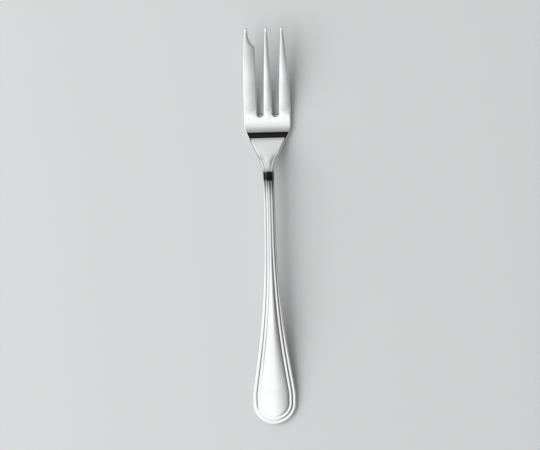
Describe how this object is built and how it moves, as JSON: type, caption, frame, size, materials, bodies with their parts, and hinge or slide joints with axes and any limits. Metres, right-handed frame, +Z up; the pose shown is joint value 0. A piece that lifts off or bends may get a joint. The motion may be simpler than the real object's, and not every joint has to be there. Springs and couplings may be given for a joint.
{
  "type": "cake fork",
  "caption": "Polished stainless cake fork with a broad notched cutting tine, slender tines, a dropped shoulder and a long handle with a double-thread border and a round end.",
  "frame": {"origin": "on the table, under the middle of the fork's length and width, with the fork lying face up", "axes": "+Y along the fork towards the tips, +Z up from the table, +X to the right seen from above, so the cutting tine is at -X"},
  "size_m": [0.0178, 0.15, 0.0115],
  "materials": {
    "polished_steel": "polished"
  },
  "bodies": {
    "root": {"cutting_tine": "polished_steel", "middle_tine": "polished_steel", "outer_tine": "polished_steel", "head": "polished_steel", "shoulder": "polished_steel", "stem": "polished_steel", "handle": "polished_steel"}
  },
  "joints": []
}
